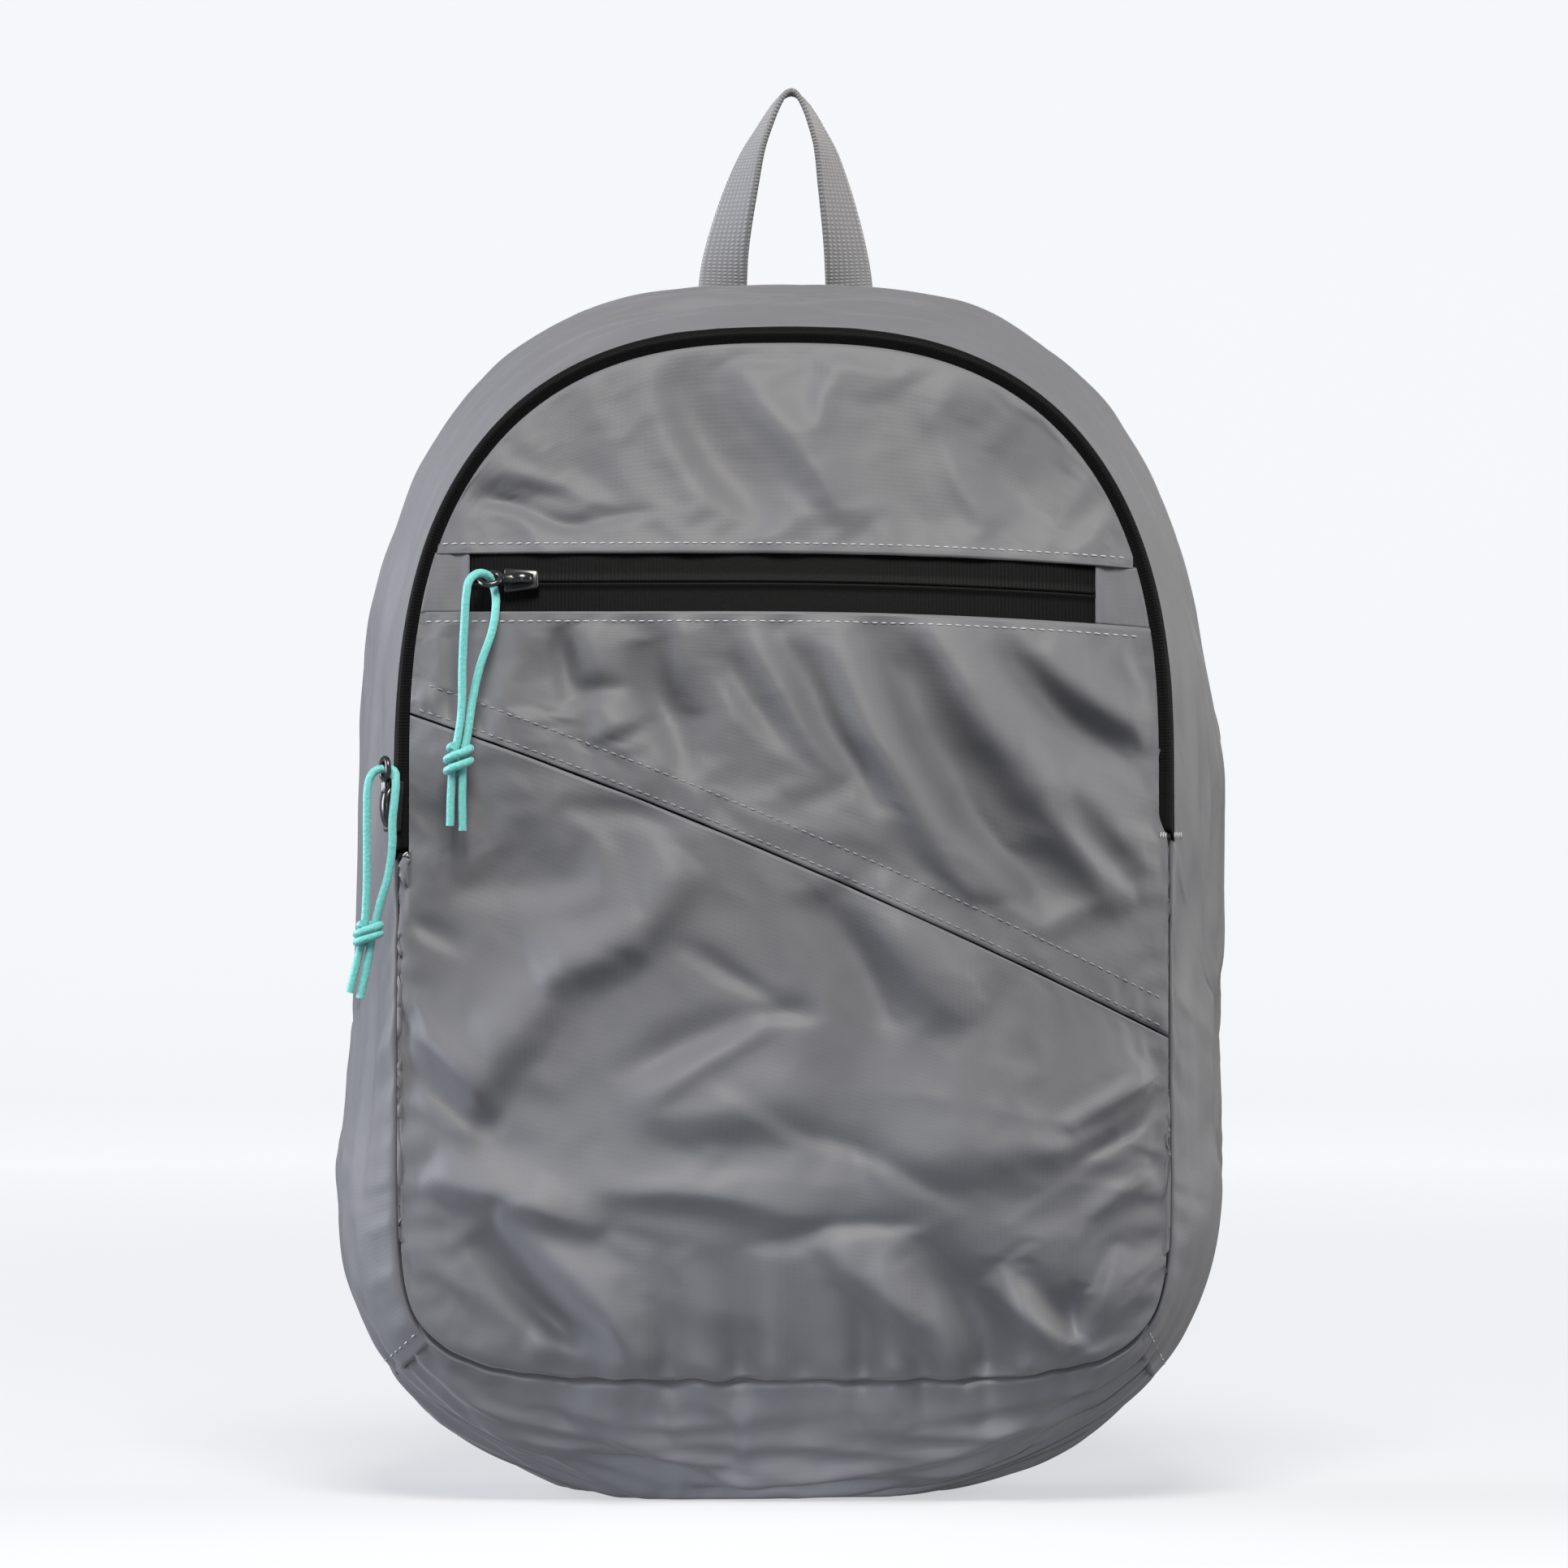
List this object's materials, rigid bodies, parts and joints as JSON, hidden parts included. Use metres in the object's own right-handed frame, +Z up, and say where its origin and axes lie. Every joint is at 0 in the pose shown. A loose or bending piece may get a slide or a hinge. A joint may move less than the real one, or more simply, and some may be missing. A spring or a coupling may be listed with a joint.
{
  "type": "backpack",
  "caption": "Small packable nylon daypack with an arched main zip, a level front pocket zip, knotted cord pulls, a webbing top handle and padded shoulder straps.",
  "frame": {"origin": "on the surface the bag stands on, in the middle of the bottom panel's flat foot", "axes": "+Z up, +X to the right as seen from the front, +Y from the front panels towards the back panel"},
  "size_m": [0.2827, 0.159, 0.4515],
  "materials": {
    "nylon": "thin grey nylon taffeta, slightly shiny",
    "back_nylon": "thin grey nylon taffeta",
    "zip_tape": "black coated zip tape",
    "slider": "black enamel",
    "webbing": "grey woven webbing",
    "strap_mesh": "dark grey padded mesh",
    "buckle": "black moulded plastic",
    "pull_cord": "teal braided cord"
  },
  "bodies": {
    "root": {"side_gusset": "nylon", "bottom_panel": "nylon", "front_panel_upper": "nylon", "front_panel_middle": "nylon", "front_panel_lower": "nylon", "pocket_zip_tab_left": "nylon", "pocket_zip_tab_right": "nylon", "back_panel": "back_nylon", "pocket_zip_tape_upper": "zip_tape", "pocket_zip_tape_lower": "zip_tape", "main_zip_tape_inner": "zip_tape", "main_zip_tape_outer": "zip_tape", "pocket_zip_slider": "slider", "main_zip_slider": "slider", "top_handle": "webbing", "lower_webbing_left": "webbing", "lower_webbing_right": "webbing", "shoulder_strap_left": "strap_mesh", "shoulder_strap_right": "strap_mesh", "strap_buckle_left": "buckle", "strap_buckle_right": "buckle", "pocket_cord_a": "pull_cord", "pocket_cord_b": "pull_cord", "pocket_cord_knot": "pull_cord", "main_cord_a": "pull_cord", "main_cord_b": "pull_cord", "main_cord_knot": "pull_cord"}
  },
  "joints": []
}
